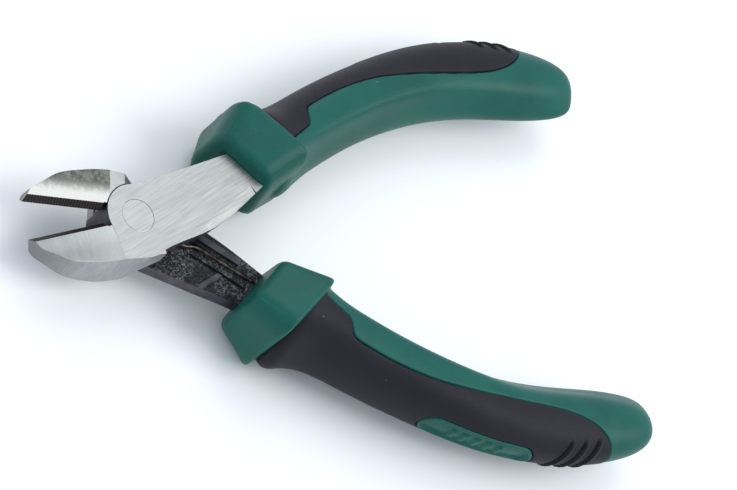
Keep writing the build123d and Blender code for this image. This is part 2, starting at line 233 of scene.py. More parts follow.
class StageSettings(bpy.types.PropertyGroup):
    """Floor, lights and camera."""

    floor_colour: FloatVectorProperty(
        name="Floor colour", description="Plain pale floor",
        subtype="COLOR", size=3, default=(0.94, 0.94, 0.94), min=0.0, max=1.0)
    floor_size: FloatProperty(
        name="Floor size", description="Side of the square floor", default=6.0, unit="LENGTH")
    softbox_power: FloatProperty(
        name="Softbox power", description="Of a softbox with a full share, in watts", default=6.5)
    softbox_size: FloatProperty(
        name="Softbox size", description="Side of each square softbox", default=0.8, unit="LENGTH")
    softbox_distance: FloatProperty(
        name="Softbox distance", description="From the tool to each softbox", default=1.3,
        unit="LENGTH")
    sky_strength: FloatProperty(
        name="Sky strength", description="Even light from all round", default=0.88)
    camera_azimuth: FloatProperty(
        name="Camera azimuth", description="Direction of the camera round the tool",
        default=math.radians(-56.86), subtype="ANGLE")
    camera_elevation: FloatProperty(
        name="Camera elevation", description="Height of the camera above the floor plane",
        default=math.radians(47.87), subtype="ANGLE")
    camera_roll: FloatProperty(
        name="Camera roll", description="Turn of the camera about its own axis",
        default=math.radians(52.16), subtype="ANGLE")
    camera_distance: FloatProperty(
        name="Camera distance", description="From the camera to the point that it looks at",
        default=0.639, unit="LENGTH")
    camera_target: FloatVectorProperty(
        name="Camera target", description="Point in the head's middle plane that it looks at",
        subtype="TRANSLATION", size=3, default=(0.0505, -0.00095, HALF_THICKNESS))
    focal_length: FloatProperty(
        name="Focal length", description="Of the lens, in millimetres", default=171.9)


class PliersSettings(bpy.types.PropertyGroup):
    """All settings of the pliers."""

    grips: PointerProperty(type=GripSettings)
    steel: PointerProperty(type=SteelSettings)
    spring: PointerProperty(type=SpringSettings)
    stage: PointerProperty(type=StageSettings)


# --- small helpers for modelling ---

def heading(degrees):
    return Vector((math.cos(math.radians(degrees)), math.sin(math.radians(degrees)), 0.0))


def deselect_all():
    if bpy.context.object and bpy.context.object.mode != "OBJECT":
        bpy.ops.object.mode_set(mode="OBJECT")
    bpy.ops.object.select_all(action="DESELECT")


def pick(piece):
    """Make this piece the only selected one."""
    deselect_all()
    piece.select_set(True)
    bpy.context.view_layer.objects.active = piece


def apply_modifier(piece, kind, **settings):
    pick(piece)
    modifier = piece.modifiers.new(kind.title(), kind)
    for setting, value in settings.items():
        setattr(modifier, setting, value)
    bpy.ops.object.modifier_apply(modifier=modifier.name)


def duplicate_piece(piece, name):
    """A copy with its own mesh."""
    copy = bpy.data.objects.new(name, piece.data.copy())
    bpy.context.scene.collection.objects.link(copy)
    copy.data.name = name
    return copy


def select_corners(mesh, chosen):
    """Select these corners of a mesh in edit mode, and nothing else."""
    shape = bmesh.from_edit_mesh(mesh)
    shape.verts.ensure_lookup_table()
    for corner in shape.verts:
        corner.select = corner.index in chosen
    shape.select_flush_mode()
    bmesh.update_edit_mesh(mesh)
    return shape


def pull_corners(piece, corners, points):
    """Move each corner to its point, one by one, in edit mode."""
    for corner, point in zip(corners, points):
        shape = select_corners(piece.data, {corner})
        bpy.ops.transform.translate(value=point - shape.verts[corner].co)


def extrude_ring(piece, corners):
    """Extrude a ring of corners in place, and give the new corners in the same order."""
    shape = select_corners(piece.data, set(corners))
    places = [shape.verts[corner].co.copy() for corner in corners]
    bpy.ops.mesh.extrude_edges_move()
    shape = bmesh.from_edit_mesh(piece.data)
    shape.verts.index_update()
    new = [corner for corner in shape.verts if corner.select]
    return [min(new, key=lambda corner: (corner.co - place).length).index for place in places]


def loft_rings(name, rings):
    """A closed form through rings of corners, capped at both ends, left in edit mode."""
    deselect_all()
    bpy.ops.mesh.primitive_circle_add(vertices=len(rings[0]), radius=0.005, location=(0, 0, 0))
    piece = bpy.context.object
    piece.name = piece.data.name = name
    bpy.ops.object.mode_set(mode="EDIT")
    bpy.ops.mesh.select_mode(type="VERT")
    columns = [list(range(len(rings[0])))]
    pull_corners(piece, columns[0], rings[0])
    for ring in rings[1:]:
        columns.append(extrude_ring(piece, columns[-1]))
        pull_corners(piece, columns[-1], ring)
    for end in (columns[0], columns[-1]):
        select_corners(piece.data, set(end))
        bpy.ops.mesh.edge_face_add()
    bpy.ops.mesh.select_all(action="SELECT")
    bpy.ops.mesh.normals_make_consistent(inside=False)
    return piece, columns


def across(centre, degrees, corners):
    """Corners of an upright section across a heading: (reach to its left, height) pairs, in mm."""
    run = heading(degrees)
    side = Vector((-run.y, run.x, 0.0))
    middle = Vector((centre[0], centre[1], 0.0))
    return [(middle + side * reach + Vector((0, 0, height))) * MM for reach, height in corners]


def smooth_step(low, high, values):
    share = np.clip((values - low) / (high - low), 0.0, 1.0)
    return share * share * (3 - 2 * share)


def mesh_points(mesh):
    """All corners of a mesh, in millimetres."""
    points = np.empty(len(mesh.vertices) * 3)
    mesh.vertices.foreach_get("co", points)
    return points.reshape(-1, 3) / MM


def push(piece, name, distance, weights):
    """Move the surface along its normals, by the distance times each corner's weight."""
    group = piece.vertex_groups.new(name=name)
    for index in np.flatnonzero(weights > 0.002):
        group.add([int(index)], float(weights[index]), "REPLACE")
    apply_modifier(piece, "DISPLACE", strength=distance, mid_level=0.0, vertex_group=name)
    piece.vertex_groups.clear()


def rounded_outline(corners, rounds=3):
    """A closed outline with its corners cut again and again, until it is smooth."""
    outline = np.array(corners, float)
    for _ in range(rounds):
        ahead = np.roll(outline, -1, axis=0)
        cut = np.stack([outline * 0.75 + ahead * 0.25, outline * 0.25 + ahead * 0.75], axis=1)
        outline = cut.reshape(-1, 2)
    return outline


def inside_distance(points, outline):
    """Distance in plan from each point to a closed outline, positive inside it."""
    inside = np.zeros(len(points), bool)
    nearest = np.full(len(points), np.inf)
    for start, end in zip(outline, np.roll(outline, -1, axis=0)):
        run = end - start
        share = np.clip(((points - start) @ run) / max(run @ run, 1e-12), 0.0, 1.0)
        nearest = np.minimum(nearest, np.linalg.norm(points - start - share[:, None] * run, axis=1))
        if start[1] != end[1]:
            crossing = start[0] + run[0] * (points[:, 1] - start[1]) / run[1]
            level = (start[1] > points[:, 1]) != (end[1] > points[:, 1])
            inside ^= level & (points[:, 0] < crossing)
    return np.where(inside, nearest, -nearest)


def open_half(piece, half):
    """Bring a closed grip's piece to its rest place; the two grips mirror each other."""
    over = Matrix.Scale(-1, 4, (0, 1, 0)) if half == "lower" else Matrix.Identity(4)
    angle = REST_HALF_ANGLE if half == "upper" else -REST_HALF_ANGLE
    lift = Matrix.Translation((0, 0, HALF_THICKNESS))
    piece.data.transform(lift @ Matrix.Rotation(angle, 4, "Z") @ over)
    pick(piece)
    bpy.ops.object.mode_set(mode="EDIT")
    bpy.ops.mesh.select_all(action="SELECT")
    bpy.ops.mesh.remove_doubles(threshold=MERGE_DISTANCE)
    bpy.ops.mesh.normals_make_consistent(inside=False)
    bpy.ops.object.mode_set(mode="OBJECT")


def closed_half(points, half):
    """Rest places as places in the closed upper half or its mirror image, as rows of three."""
    angle = -REST_HALF_ANGLE if half == "upper" else REST_HALF_ANGLE
    back = np.array(Matrix.Rotation(angle, 3, "Z"))
    closed = (points - np.array([0, 0, HALF_THICKNESS / MM])) @ back.T
    return closed * np.array([1, -1, 1]) if half == "lower" else closed


# --- materials ---

class Finish:
    """A material and the few kinds of nodes that its patterns use."""

    def __init__(self, name, colour, roughness, metallic=0.0, **fixed):
        self.material = bpy.data.materials.new(name)
        self.material.use_nodes = True
        self.tree = self.material.node_tree
        self.shader = self.tree.nodes["Principled BSDF"]
        self.shader.inputs["Base Color"].default_value = (*colour, 1.0)
        self.shader.inputs["Roughness"].default_value = roughness
        self.shader.inputs["Metallic"].default_value = metallic
        for socket, value in fixed.items():
            self.shader.inputs[socket.replace("_", " ")].default_value = value
        self.place = self.tree.nodes.new("ShaderNodeTexCoord").outputs["Object"]

    def node(self, kind, **settings):
        node = self.tree.nodes.new("ShaderNode" + kind)
        for setting, value in settings.items():
            setattr(node, setting, value)
        return node

    def link(self, source, target):
        self.tree.links.new(source, target)

    def space(self, turn=0.0, stretch=(1, 1, 1), move=(0, 0, 0)):
        """The piece's own coordinates, moved, turned about Z and stretched."""
        turned = self.node("Mapping", vector_type="TEXTURE")
        turned.inputs["Rotation"].default_value = (0, 0, turn)
        turned.inputs["Location"].default_value = move
        self.link(self.place, turned.inputs["Vector"])
        scaled = self.node("Mapping", vector_type="POINT")
        scaled.inputs["Scale"].default_value = stretch
        self.link(turned.outputs[0], scaled.inputs["Vector"])
        return scaled.outputs[0]

    def noise(self, space, scale, detail=2.0, roughness=0.5):
        noise = self.node("TexNoise")
        noise.inputs["Scale"].default_value = scale
        noise.inputs["Detail"].default_value = detail
        noise.inputs["Roughness"].default_value = roughness
        self.link(space, noise.inputs["Vector"])
        return noise.outputs["Fac"]

    def cells(self, space, scale):
        """Distance to the nearest of many scattered points."""
        cells = self.node("TexVoronoi")
        cells.inputs["Scale"].default_value = scale
        self.link(space, cells.inputs["Vector"])
        return cells.outputs["Distance"]

    def range(self, value, from_low, from_high, low=0.0, high=1.0):
        ramp = self.node("MapRange", interpolation_type="SMOOTHSTEP")
        for socket, number in zip(("From Min", "From Max", "To Min", "To Max"),
                                  (from_low, from_high, low, high)):
            ramp.inputs[socket].default_value = number
        self.link(value, ramp.inputs["Value"])
        return ramp.outputs["Result"]

    def combine(self, kind, first, second):
        """Result of one arithmetic step on two values or sockets."""
        node = self.node("Math", operation=kind)
        for socket, value in zip(node.inputs, (first, second)):
            if isinstance(value, (int, float)):
                socket.default_value = value
            else:
                self.link(value, socket)
        return node.outputs[0]

    def axis(self, space, name):
        split = self.node("SeparateXYZ")
        self.link(space, split.inputs[0])
        return split.outputs[name]

    def mix(self, share, first, second):
        """Colour between two colours, by share."""
        mix = self.node("Mix", data_type="RGBA")
        self.link(share, mix.inputs["Factor"])
        for socket, value in zip((mix.inputs[6], mix.inputs[7]), (first, second)):
            if isinstance(value, tuple):
                socket.default_value = (*value, 1.0)
            else:
                self.link(value, socket)
        return mix.outputs[2]

    def colour(self, value):
        self.link(value, self.shader.inputs["Base Color"])

    def roughness(self, value):
        self.link(value, self.shader.inputs["Roughness"])

    def bump(self, height, distance, strength=1.0):
        bump = self.node("Bump")
        bump.inputs["Distance"].default_value = distance
        bump.inputs["Strength"].default_value = strength
        self.link(height, bump.inputs["Height"])
        if self.shader.inputs["Normal"].is_linked:
            self.link(self.shader.inputs["Normal"].links[0].from_socket, bump.inputs["Normal"])
        self.link(bump.outputs[0], self.shader.inputs["Normal"])


def shade(colour, factor):
    return tuple(min(channel * factor, 1.0) for channel in colour)


def core_plastic(colour):
    """Satin moulded plastic with a fine grain, paler specks and a little dust."""
    finish = Finish("satin_green_plastic", colour, 0.42, Specular_IOR_Level=0.26)
    space = finish.space()
    grain = finish.noise(space, 2600.0, 3.0, 0.6)
    cloud = finish.noise(space, 90.0, 3.0)
    base = finish.mix(finish.range(cloud, 0.3, 0.7), shade(colour, 0.88), shade(colour, 1.12))
    speck = finish.range(grain, 0.56, 0.74, 0.0, 0.5)
    base = finish.mix(speck, base, shade(colour, 1.7))
    dust = finish.range(finish.cells(space, 700.0), 0.04, 0.09, 1.0, 0.0)
    rare = finish.range(finish.noise(space, 260.0), 0.64, 0.68)
    finish.colour(finish.mix(finish.combine("MULTIPLY", dust, rare), base, (0.45, 0.5, 0.4)))
    finish.roughness(finish.range(grain, 0.3, 0.7, 0.36, 0.5))
    finish.bump(grain, 0.00005, 0.55)
    finish.bump(cloud, 0.0002, 0.12)
    return finish.material


def skin_rubber(colour):
    """Soft charcoal rubber with a fine pebbled grain and dust specks."""
    finish = Finish("charcoal_soft_rubber", colour, 0.55, Specular_IOR_Level=0.2)
    space = finish.space()
    grain = finish.noise(space, 3400.0, 3.0, 0.65)
    cloud = finish.noise(space, 70.0, 3.0)
    base = finish.mix(finish.range(cloud, 0.3, 0.7), shade(colour, 0.85), shade(colour, 1.15))
    base = finish.mix(finish.range(grain, 0.55, 0.75, 0.0, 0.45), base, shade(colour, 2.6))
    dust = finish.range(finish.cells(space, 700.0), 0.04, 0.09, 1.0, 0.0)
    rare = finish.range(finish.noise(space, 300.0), 0.62, 0.66)
    finish.colour(finish.mix(finish.combine("MULTIPLY", dust, rare), base, (0.34, 0.32, 0.27)))
    finish.roughness(finish.range(grain, 0.3, 0.7, 0.48, 0.64))
    finish.bump(grain, 0.00006, 0.6)
    return finish.material


def ground_steel(name, colour, turn):
    """Bright steel with fine brushing along one heading."""
    finish = Finish(name, colour, 0.3, 1.0)
    brushed = finish.space(turn, (0.03, 1.0, 1.0))
    lines = finish.noise(brushed, 5200.0, 2.0, 0.6)
    broad = finish.noise(finish.space(turn, (0.12, 1.0, 1.0)), 700.0, 3.0)
    cloud = finish.noise(finish.space(), 120.0, 2.0)
    base = finish.mix(finish.range(lines, 0.3, 0.7), shade(colour, 0.84), shade(colour, 1.08))
    base = finish.mix(finish.range(broad, 0.35, 0.75, 0.0, 0.4), base, shade(colour, 0.86))
    finish.colour(finish.mix(finish.range(cloud, 0.5, 0.75, 0.0, 0.25), base, (0.5, 0.49, 0.42)))
    finish.roughness(finish.range(lines, 0.3, 0.7, 0.3, 0.46))
    finish.bump(lines, 0.000012, 0.35)
    return finish.material


def jaw_facet_steel(name, colour, painted_shade_share, half):
    """Ground jaw facet: marks run across it, and painted shade darkens it to a mottled outer edge."""
    turn = REST_HALF_ANGLE if half == "upper" else -REST_HALF_ANGLE
    finish = Finish(name, colour, 0.34, 1.0)
    marks = finish.noise(finish.space(turn, (1.0, 0.07, 0.07)), 3800.0, 3.0, 0.6)
    mottle = finish.noise(finish.space(turn, (1.0, 0.7, 0.7)), 1300.0, 4.0, 0.7)
    side = -1.0 if half == "upper" else 1.0
    outward = finish.combine("MULTIPLY", finish.axis(finish.space(turn), "Y"), side)
    wavy = finish.combine("ADD", outward, finish.range(mottle, 0.25, 0.75, -0.0005, 0.0005))
    # painted shade: mottled dark colour towards the facet's outer edge
    dark = finish.range(wavy, 0.0022, 0.005, 0.0, painted_shade_share)
    base = finish.mix(finish.range(marks, 0.3, 0.7), shade(colour, 0.95), shade(colour, 1.05))
    shade_blotch = finish.mix(finish.range(mottle, 0.35, 0.65), (0.05, 0.054, 0.047), (0.14, 0.15, 0.125))
    finish.colour(finish.mix(dark, base, shade_blotch))
    finish.roughness(finish.range(marks, 0.3, 0.7, 0.34, 0.42))
    finish.bump(marks, 0.00001, 0.2)
    return finish.material


def flank_steel(colour):
    """Satin outer side of a jaw, with a fine upright grain and painted shade that darkens it towards
    the jaw's front end.
    """
    finish = Finish("satin_flank_steel", colour, 0.42, 1.0)
    grain = finish.noise(finish.space(0.0, (1.0, 1.0, 0.12)), 2600.0, 3.0, 0.6)
    cloud = finish.noise(finish.space(), 300.0, 3.0)
    base = finish.mix(finish.range(grain, 0.3, 0.7), shade(colour, 0.84), shade(colour, 1.14))
    base = finish.mix(finish.range(cloud, 0.4, 0.75, 0.0, 0.35), base, shade(colour, 0.72))
    # painted shade: the colour darkens towards the jaw's front end
    painted_tip_shade = finish.range(finish.axis(finish.space(), "X"), -0.0195, -0.008, 0.75, 0.0)
    finish.colour(finish.mix(painted_tip_shade, base, shade(colour, 0.4)))
    finish.roughness(finish.range(grain, 0.3, 0.7, 0.38, 0.52))
    finish.bump(grain, 0.00002, 0.4)
    return finish.material


def edge_black(half):
    """Near-black bevel along the cutting edge, with fine teeth marks across it."""
    turn = REST_HALF_ANGLE if half == "upper" else -REST_HALF_ANGLE
    colour = (0.03, 0.021, 0.018)
    finish = Finish(f"{half}_edge_black", colour, 0.42, 0.6)
    waves = finish.node("TexWave", wave_type="BANDS", bands_direction="X")
    waves.inputs["Scale"].default_value = 655.0
    waves.inputs["Distortion"].default_value = 0.6
    finish.link(finish.space(turn), waves.inputs["Vector"])
    teeth = waves.outputs["Fac"]
    finish.colour(finish.mix(finish.range(teeth, 0.2, 0.9), (0.018, 0.013, 0.012),
                             (0.05, 0.037, 0.034)))
    finish.roughness(finish.range(teeth, 0.0, 1.0, 0.5, 0.34))
    finish.bump(teeth, 0.00008, 0.6)
    return finish.material


def black_oxide(colour):
    """Smooth black sides with a slight purple-grey sheen painted into the colour as cloudy patches, and
    rubbed patches.
    """
    finish = Finish("black_oxide_steel", colour, 0.34, 0.55)
    cloud = finish.noise(finish.space(), 260.0, 4.0, 0.6)
    fine = finish.noise(finish.space(), 2400.0, 3.0)
    # painted sheen: lighter purple-grey cloudy patches
    base = finish.mix(finish.range(cloud, 0.35, 0.75), colour, (0.1, 0.096, 0.11))
    finish.colour(finish.mix(finish.range(fine, 0.6, 0.8, 0.0, 0.35), base, (0.2, 0.2, 0.2)))
    finish.roughness(finish.range(cloud, 0.3, 0.7, 0.3, 0.46))
    finish.bump(fine, 0.00003, 0.35)
    return finish.material


def forged_scale():
    """Black forging scale with coarse silver speckle."""
    finish = Finish("forged_scale_steel", (0.1, 0.11, 0.1), 0.45, 0.75)
    grit = finish.noise(finish.space(), 3000.0, 4.0, 0.7)
    pits = finish.cells(finish.space(), 1500.0)
    patch = finish.noise(finish.space(), 260.0, 3.0)
    silver = finish.combine("MULTIPLY", finish.range(grit, 0.44, 0.66),
                            finish.range(patch, 0.42, 0.58, 0.15, 1.0))
    finish.colour(finish.mix(silver, (0.012, 0.012, 0.014), (0.17, 0.19, 0.18)))
    finish.roughness(finish.range(grit, 0.3, 0.7, 0.62, 0.34))
    finish.bump(grit, 0.00016, 0.8)
    finish.bump(pits, 0.00008, 0.5)
    return finish.material


def rivet_steel(colour):
    """Ground flush with the head, with a slightly warm rim."""
    finish = Finish("rivet_ground_steel", colour, 0.32, 1.0)
    lines = finish.noise(finish.space(BRUSH_ANGLE, (0.03, 1.0, 1.0)), 5200.0, 2.0, 0.6)
    radius = finish.node("VectorMath", operation="LENGTH")
    finish.link(finish.space(0.0, (1, 1, 0)), radius.inputs[0])
    rim = finish.range(radius.outputs["Value"], RIVET_RADIUS * 0.955, RIVET_RADIUS * 0.985, 0.0, 0.3)
    base = finish.mix(finish.range(lines, 0.3, 0.7), shade(colour, 0.86), shade(colour, 1.07))
    finish.colour(finish.mix(rim, base, (0.52, 0.45, 0.31)))
    finish.roughness(finish.range(lines, 0.3, 0.7, 0.3, 0.46))
    finish.bump(lines, 0.000012, 0.35)
    return finish.material


def spring_wire_steel():
    """Oil-tempered wire, dark brown with a coppery shine."""
    finish = Finish("tempered_wire_steel", (0.2, 0.14, 0.11), 0.3, 0.9)
    drawn = finish.noise(finish.space(), 700.0, 2.0)
    finish.colour(finish.mix(finish.range(drawn, 0.35, 0.7), (0.035, 0.03, 0.028), (0.13, 0.095, 0.08)))
    finish.roughness(finish.range(drawn, 0.3, 0.7, 0.24, 0.42))
    finish.bump(drawn, 0.00002, 0.3)
    return finish.material


def floor_paper(colour):
    """Plain pale card with a barely visible tooth."""
    finish = Finish("pale_card", colour, 0.9, Specular_IOR_Level=0.1)
    tooth = finish.noise(finish.space(), 900.0, 2.0)
    finish.colour(finish.mix(finish.range(tooth, 0.3, 0.7), shade(colour, 0.995), colour))
    return finish.material


# --- grips ---

def grip_corners(outer, inner, height, crease, under):
    """Section from its outermost corner over the top and back underneath, in mm."""
    ring = [
        (outer * (1 + under) / 2, 0.0),
        (0.92 * outer, 0.50 * height), (0.58 * outer, 0.90 * height), (0.20 * outer, height),
        (-crease, 0.95 * height), (-0.68 * inner, 0.46 * height),
        (-inner, 0.0),
        (-0.9 * inner, -0.50 * height), (-crease, -0.95 * height), (0.20 * outer, -height),
        (0.58 * outer * under, -0.90 * height), (0.92 * outer * under, -0.50 * height),
    ]
    return [(reach * CAGE_SWELL, level * CAGE_SWELL) for reach, level in ring]


def grip_rings():
    rings = []
    for index, (x, y, *section) in enumerate(GRIP_STATIONS):
        before = GRIP_STATIONS[max(index - 1, 0)]
        after = GRIP_STATIONS[min(index + 1, len(GRIP_STATIONS) - 1)]
        degrees = math.degrees(math.atan2(after[1] - before[1], after[0] - before[0]))
        rings.append(across((x, y), degrees, grip_corners(*section)))
    return rings


def grip_body(name):
    """The grip's form without its collar, smooth but for a soft crease along top and bottom."""
    piece, columns = loft_rings(name, grip_rings())
    shape = select_corners(piece.data, set())
    for place in CREASE_CORNERS:
        line = {column[place] for column in columns[:CREASED_STATIONS]}
        for edge in shape.edges:
            if {corner.index for corner in edge.verts} <= line:
                edge.select = True
    bmesh.update_edit_mesh(piece.data)
    bpy.ops.transform.edge_crease(value=0.3)
    deselect_all()
    apply_modifier(piece, "SUBSURF", levels=3, render_levels=3)
    return piece


def collar_corners(share):
    size = [a + (b - a) * share for a, b in zip(COLLAR_FRONT_SIZE, COLLAR_RIDGE_SIZE)]
    inner, outer, flat_in, flat_out, side, top, bulge = size
    ring = [(outer, side), bulged(outer, flat_out, side, top, bulge), (flat_out, top),
            (-flat_in, top), bulged(-inner, -flat_in, side, top, bulge), (-inner, side)]
    deep, wide, low = inner + COLLAR_FOOT, flat_in + COLLAR_FOOT, (side + top) / 2
    ring += [(-deep, -low), bulged(-deep, -wide, -low, -top, bulge), (-wide, -top),
             (flat_out, -top), bulged(outer, flat_out, -side, -top, bulge), (outer, -side)]
    return ring


def bulged(wide, narrow, side, top, bulge):
    """Middle of a corner's chamfer, moved out towards the corner itself."""
    reach, level = (wide + narrow) / 2, (side + top) / 2
    return (reach + (wide - reach) * bulge, level + (top - level) * bulge)


def collar_body(radius):
    """Thumb guard: a block with cut corners that widens and rises to its rounded ridge."""
    rings = []
    for centre, degrees, share in ((COLLAR_FRONT, COLLAR_FRONT_ANGLE, 0.0),
                                   (COLLAR_RIDGE, COLLAR_RIDGE_ANGLE, 1.0)):
        rings.append(across(centre, degrees, collar_corners(share)))
    piece, _ = loft_rings("collar", rings)
    bpy.ops.mesh.select_all(action="SELECT")
    bpy.ops.mesh.bevel(offset=radius, segments=4, affect="EDGES")
    deselect_all()
    return piece


def even_surface(piece, size, passes):
    """Rebuild the form as one closed skin of even small faces, and smooth it."""
    apply_modifier(piece, "REMESH", mode="VOXEL", voxel_size=size, use_smooth_shade=True)
    apply_modifier(piece, "SMOOTH", factor=0.5, iterations=passes)


def behind_ridge(points):
    run = np.array(heading(COLLAR_RIDGE_ANGLE))
    return (points - np.array((*COLLAR_RIDGE, 0.0))) @ run


def skin_distance(points):
    """Distance in plan inside the area that the soft skin covers, and inside the badge window."""
    side = heading(COLLAR_RIDGE_ANGLE + 90)
    start = Vector((*COLLAR_RIDGE, 0.0))
    ahead = heading(COLLAR_RIDGE_ANGLE) * AHEAD_OF_RIDGE
    far = start + side * BEYOND_GRIP - ahead
    near = Vector((*SKIN_EDGE[0], 0.0)) - ahead
    beyond = (SKIN_EDGE[-1][0], 40.0)
    outline = rounded_outline([near.xy, *SKIN_EDGE, beyond, far.xy])
    edge = inside_distance(points[:, :2], outline)
    run = np.array(heading(BADGE_ANGLE))[:2]
    along = (points[:, :2] - np.array(BADGE_CENTRE)) @ run
    spare = np.maximum(np.abs(along) - BADGE_HALF_RUN, 0.0)
    badge = BADGE_HALF_WIDTH - np.hypot(spare, points[:, 2] + BADGE_DROP)
    return edge, badge


def badge_bars(points):
    """Weight of the row of short raised bars in the badge's recess."""
    run = np.array(heading(BADGE_ANGLE))[:2]
    along = (points[:, :2] - np.array(BADGE_CENTRE)) @ run
    off = np.min([np.abs(along - place) for place in BADGE_BARS], axis=0)
    short = 1 - smooth_step(1.1, 1.5, np.abs(points[:, 2] + BADGE_DROP))
    return (1 - smooth_step(0.4, 0.75, off)) * short * (points[:, 1] > BADGE_CENTRE[1] - 3.0)


def grip_core(settings):
    """Hard core with its collar: a pocket for the skin, and the raised rim of the badge."""
    piece = grip_body("grip_core")
    collar = collar_body(settings.edge_radius)
    pick(piece)
    collar.select_set(True)
    bpy.ops.object.join()
    even_surface(piece, settings.mesh_size, 5)
    points = mesh_points(piece.data)
    edge, badge = skin_distance(points)
    pocket = np.minimum(edge, -badge)
    sunk = smooth_step(-0.1, 0.32, pocket) * smooth_step(0.02, 0.35, behind_ridge(points))
    on_badge = edge > 1.5
    rim = smooth_step(0.02, 0.3, badge) * (1 - smooth_step(0.5, 0.8, badge)) * on_badge
    recess = smooth_step(0.62, 0.95, badge) * on_badge
    push(piece, "pocket", -settings.skin_sink, sunk)
    push(piece, "badge_rim", BADGE_RIM_RISE * MM, rim)
    push(piece, "badge_recess", -BADGE_RECESS_DEPTH * MM, recess)
    push(piece, "badge_bars", BADGE_BAR_RISE * MM, badge_bars(points) * recess)
    return piece


def grip_ribs(points):
    """Weights of the three bowed ribs on the outer side, and of the groove in front of each."""
    height = points[:, 2]
    rib = np.zeros(len(points))
    groove = np.zeros(len(points))
    for place in RIB_PLACES:
        bowed = place + RIB_BOW * height ** 2 + RIB_LEAN * height
        off = points[:, 0] - bowed - RIB_SLANT * (points[:, 1] - RIB_SIDE)
        rib = np.maximum(rib, smooth_step(0.2, 0.45, off) * (1 - smooth_step(0.5, 1.6, off)))
        groove = np.maximum(groove, 1 - smooth_step(0.05, 0.36, np.abs(off)))
    fade = (1 - smooth_step(3.6, 4.4, np.abs(height))) * (points[:, 1] > 22.0)
    return rib * fade, groove * fade


def grip_skin(settings):
    """Soft skin over the outer side: its edges dip into the core's pocket."""
    piece = grip_body("grip_skin")
    even_surface(piece, settings.mesh_size, 3)
    points = mesh_points(piece.data)
    edge, badge = skin_distance(points)
    cover = np.minimum(edge, -badge)
    kept = (cover > -0.42) & (behind_ridge(points) > -0.9)
    pick(piece)
    bpy.ops.object.mode_set(mode="EDIT")
    select_corners(piece.data, set(np.flatnonzero(~kept).tolist()))
    bpy.ops.mesh.delete(type="VERT")
    deselect_all()
    points = mesh_points(piece.data)
    edge, badge = skin_distance(points)
    cover = np.minimum(edge, -badge)
    push(piece, "proud", settings.skin_proud, smooth_step(0.05, 0.5, cover))
    push(piece, "dipped", -SKIN_DIP * MM, 1 - smooth_step(-0.12, 0.28, cover))
    ribs, grooves = grip_ribs(points)
    push(piece, "ribs", settings.rib_height, ribs)
    push(piece, "grooves", -settings.groove_depth, grooves)
    apply_modifier(piece, "SOLIDIFY", thickness=settings.skin_thickness, offset=-1.0)
    return piece


def finish_pair(model, kind, material):
    """The upper and lower piece of a kind, from one closed model."""
    for half in HALVES:
        name = f"{half}_{kind}"
        piece = duplicate_piece(model, f"{name}_form")
        open_half(piece, half)
        piece.data.materials.clear()
        piece.data.materials.append(material)
        pick(piece)
        bpy.ops.object.shade_smooth()
        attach(piece, f"{half}_half")
        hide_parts(name)
    bpy.data.objects.remove(model)


class PLIERS_OT_grip_cores(bpy.types.Operator):
    """Model the hard cores of both grips, with their thumb guards and badge rims"""

    bl_idname = "pliers.grip_cores"
    bl_label = "Grip Cores"

    def execute(self, context):
        settings = context.scene.pliers.grips
        material = core_plastic(tuple(settings.core_colour))
        finish_pair(grip_core(settings), "grip_core", material)
        return {"FINISHED"}


class PLIERS_OT_grip_skins(bpy.types.Operator):
    """Model the soft skins of both grips, with their ribs and badge windows"""

    bl_idname = "pliers.grip_skins"
    bl_label = "Grip Skins"

    def execute(self, context):
        settings = context.scene.pliers.grips
        material = skin_rubber(tuple(settings.skin_colour))
        finish_pair(grip_skin(settings), "grip_skin", material)
        return {"FINISHED"}


# --- forged halves, rivet and spring ---

def steel_zone(centre, normal):
    """Which finish a face of a forging has, from its place in the closed half and its normal."""
    x, y, z = centre
    outward = -y
    top = HALF_THICKNESS / MM
    if x < EDGE_END and outward < EDGE_REACH and 0.2 < normal[2] < 0.93:
        return "edge"
    if x < HEAD_FACET_START + 0.3 and normal[2] > 0.9:
        return "facet"
    if normal[2] > 0.25 and z > top - 0.25:
        return "ground"
    if normal[2] < -0.9 and z < 0.3 - top:
        return "ground"
    if x < FLANK_END and outward > FLANK_REACH and abs(normal[2]) < 0.9 and normal[1] < 0.1:
        return "flank"
    if x < JAW_FRONT:
        return "flank"
    rib_top = x > RIBS_START and abs(z) < RIB_LEVEL
    if abs(normal[2]) > 0.8 and x > SCALE_START and not rib_top:
        return "scale"
    return "oxide"


def forging(half, settings, finishes):
    """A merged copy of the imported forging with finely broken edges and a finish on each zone."""
    piece = duplicate_piece(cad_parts[f"{half}_forged_half"], f"{half}_forging")
    pick(piece)
    bpy.ops.object.mode_set(mode="EDIT")
    bpy.ops.mesh.select_all(action="SELECT")
    bpy.ops.mesh.remove_doubles(threshold=MERGE_DISTANCE)
    bpy.ops.mesh.dissolve_limited(angle_limit=math.radians(0.6))
    bpy.ops.mesh.select_mode(type="EDGE")
    shape = bmesh.from_edit_mesh(piece.data)
    for edge in shape.edges:
        edge.select = edge.calc_face_angle_signed(0.0) > BEVELLED_ANGLE
    bmesh.update_edit_mesh(piece.data)
    bpy.ops.transform.edge_bevelweight(value=1.0)
    deselect_all()
    apply_modifier(piece, "BEVEL", width=settings.edge_bevel, segments=2, limit_method="WEIGHT",
                   use_clamp_overlap=True)
    zones = ["ground", "facet", "flank", "edge", "scale", "oxide"]
    piece.data.materials.clear()
    for zone in zones:
        piece.data.materials.append(finishes[zone])
    centres = np.array([face.center for face in piece.data.polygons]) / MM
    normals = np.array([face.normal for face in piece.data.polygons])
    closed = closed_half(centres, half)
    lift = np.array([0, 0, HALF_THICKNESS / MM])
    turned = closed_half(normals + lift, half)
    for face, centre, normal in zip(piece.data.polygons, closed, turned):
        face.material_index = zones.index(steel_zone(centre, normal))
    pick(piece)
    bpy.ops.object.shade_smooth_by_angle(angle=SMOOTH_ANGLE)
    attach(piece, f"{half}_half")
    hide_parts(f"{half}_forged_half")
    return piece


